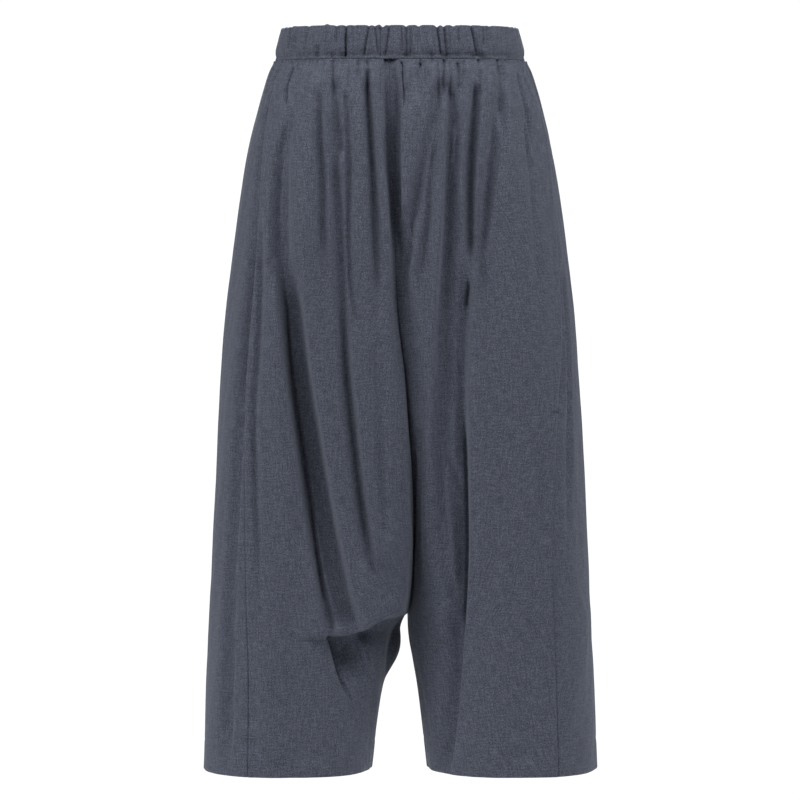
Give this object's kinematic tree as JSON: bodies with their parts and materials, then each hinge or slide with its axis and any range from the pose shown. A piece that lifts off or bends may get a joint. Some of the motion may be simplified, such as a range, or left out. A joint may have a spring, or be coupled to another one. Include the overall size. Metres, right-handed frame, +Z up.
{
  "type": "wide-leg trousers",
  "caption": "Cropped wide-leg pull-on trousers in grey wool flannel, with a gathered elastic waist, a dropped crotch and a draped front, in worn form.",
  "frame": {"origin": "middle of the waistband, inside the waist, where the wearer's waist holds the trousers up", "axes": "+X towards the wearer's left, the front faces -Y, +Z up"},
  "size_m": [0.431, 0.2639, 0.8176],
  "materials": {
    "panels": "brushed wool flannel, blue-grey heather, matt with a soft nap",
    "waistband": "the same wool flannel, gathered over elastic"
  },
  "bodies": {
    "root": {"front_right": "panels", "front_left": "panels", "back_right": "panels", "back_left": "panels", "waistband": "waistband"}
  },
  "joints": []
}
